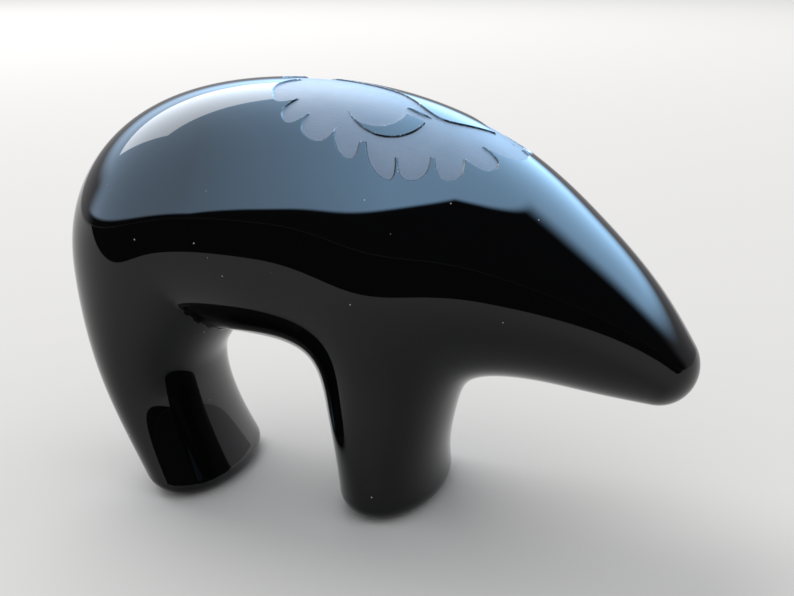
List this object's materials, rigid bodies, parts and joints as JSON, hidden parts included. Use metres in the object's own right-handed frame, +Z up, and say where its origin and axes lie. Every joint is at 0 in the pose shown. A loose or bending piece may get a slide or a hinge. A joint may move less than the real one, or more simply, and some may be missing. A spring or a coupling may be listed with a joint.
{
  "type": "ceramic bear figurine",
  "caption": "Standing bear figurine in glossy black glazed ceramic, with a rounded back, broad legs, a low tapering head and a scalloped matte ornament etched into its back.",
  "frame": {"origin": "middle of the ground under the figurine", "axes": "+X towards the nose, +Z up, Y across the body, with the origin at the middle of the length and the width"},
  "size_m": [0.122, 0.0516, 0.0801],
  "materials": {
    "black_glaze": "glossy black glaze, with an ornament etched matte blue-grey"
  },
  "bodies": {
    "root": {"bear": "black_glaze"}
  },
  "joints": []
}
